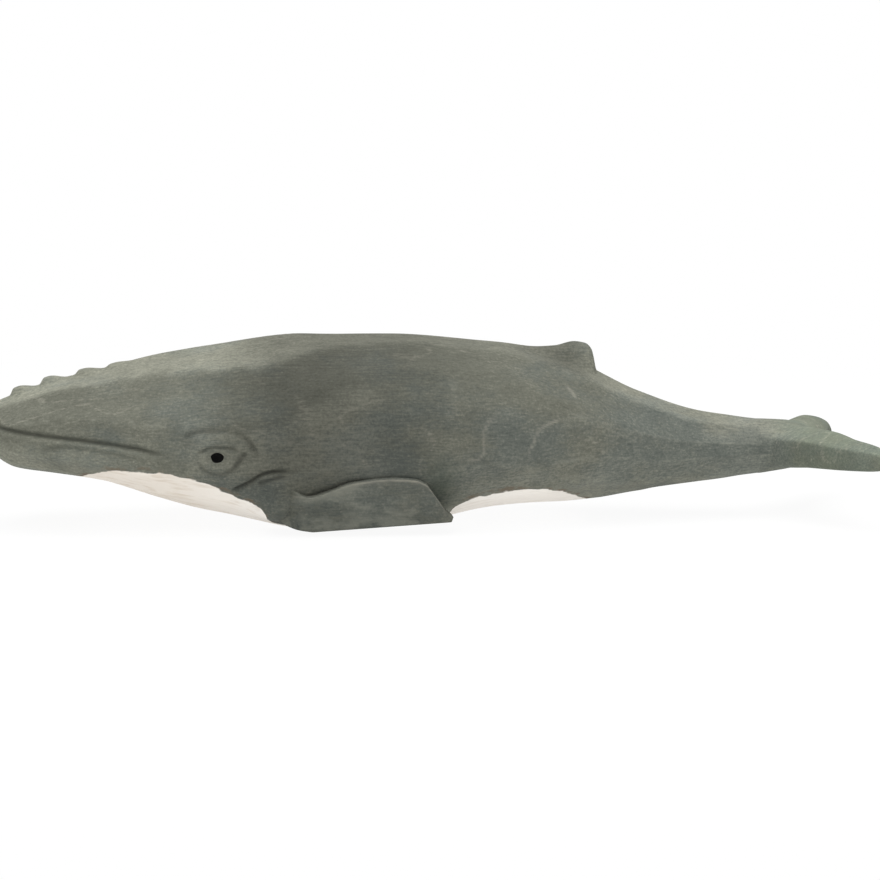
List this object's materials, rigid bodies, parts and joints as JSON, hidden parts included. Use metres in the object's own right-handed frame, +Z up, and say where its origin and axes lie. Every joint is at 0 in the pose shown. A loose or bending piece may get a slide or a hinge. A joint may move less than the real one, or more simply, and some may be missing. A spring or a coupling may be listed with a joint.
{
  "type": "whale figurine",
  "caption": "Carved wooden whale with glued-on flippers, tail fluke and eye pegs, stained grey with a painted pale belly; stands on its pared belly as an ornament.",
  "frame": {"origin": "on the table, under the middle of the figure's length and width", "axes": "+X from the snout to the tail, +Z up, the left flank faces -Y"},
  "size_m": [0.17, 0.056, 0.0356],
  "materials": {
    "stained_wood": "matte grey-green stain over carved wood, pale paint under the belly",
    "dowel_wood": "bare beech",
    "eye_black": "black lacquer"
  },
  "bodies": {
    "root": {"body": "stained_wood", "left_flipper": "stained_wood", "right_flipper": "stained_wood", "tail_fluke": "stained_wood", "flipper_dowels": "dowel_wood", "fluke_dowel": "dowel_wood", "left_eye_peg": "eye_black", "right_eye_peg": "eye_black"}
  },
  "joints": []
}
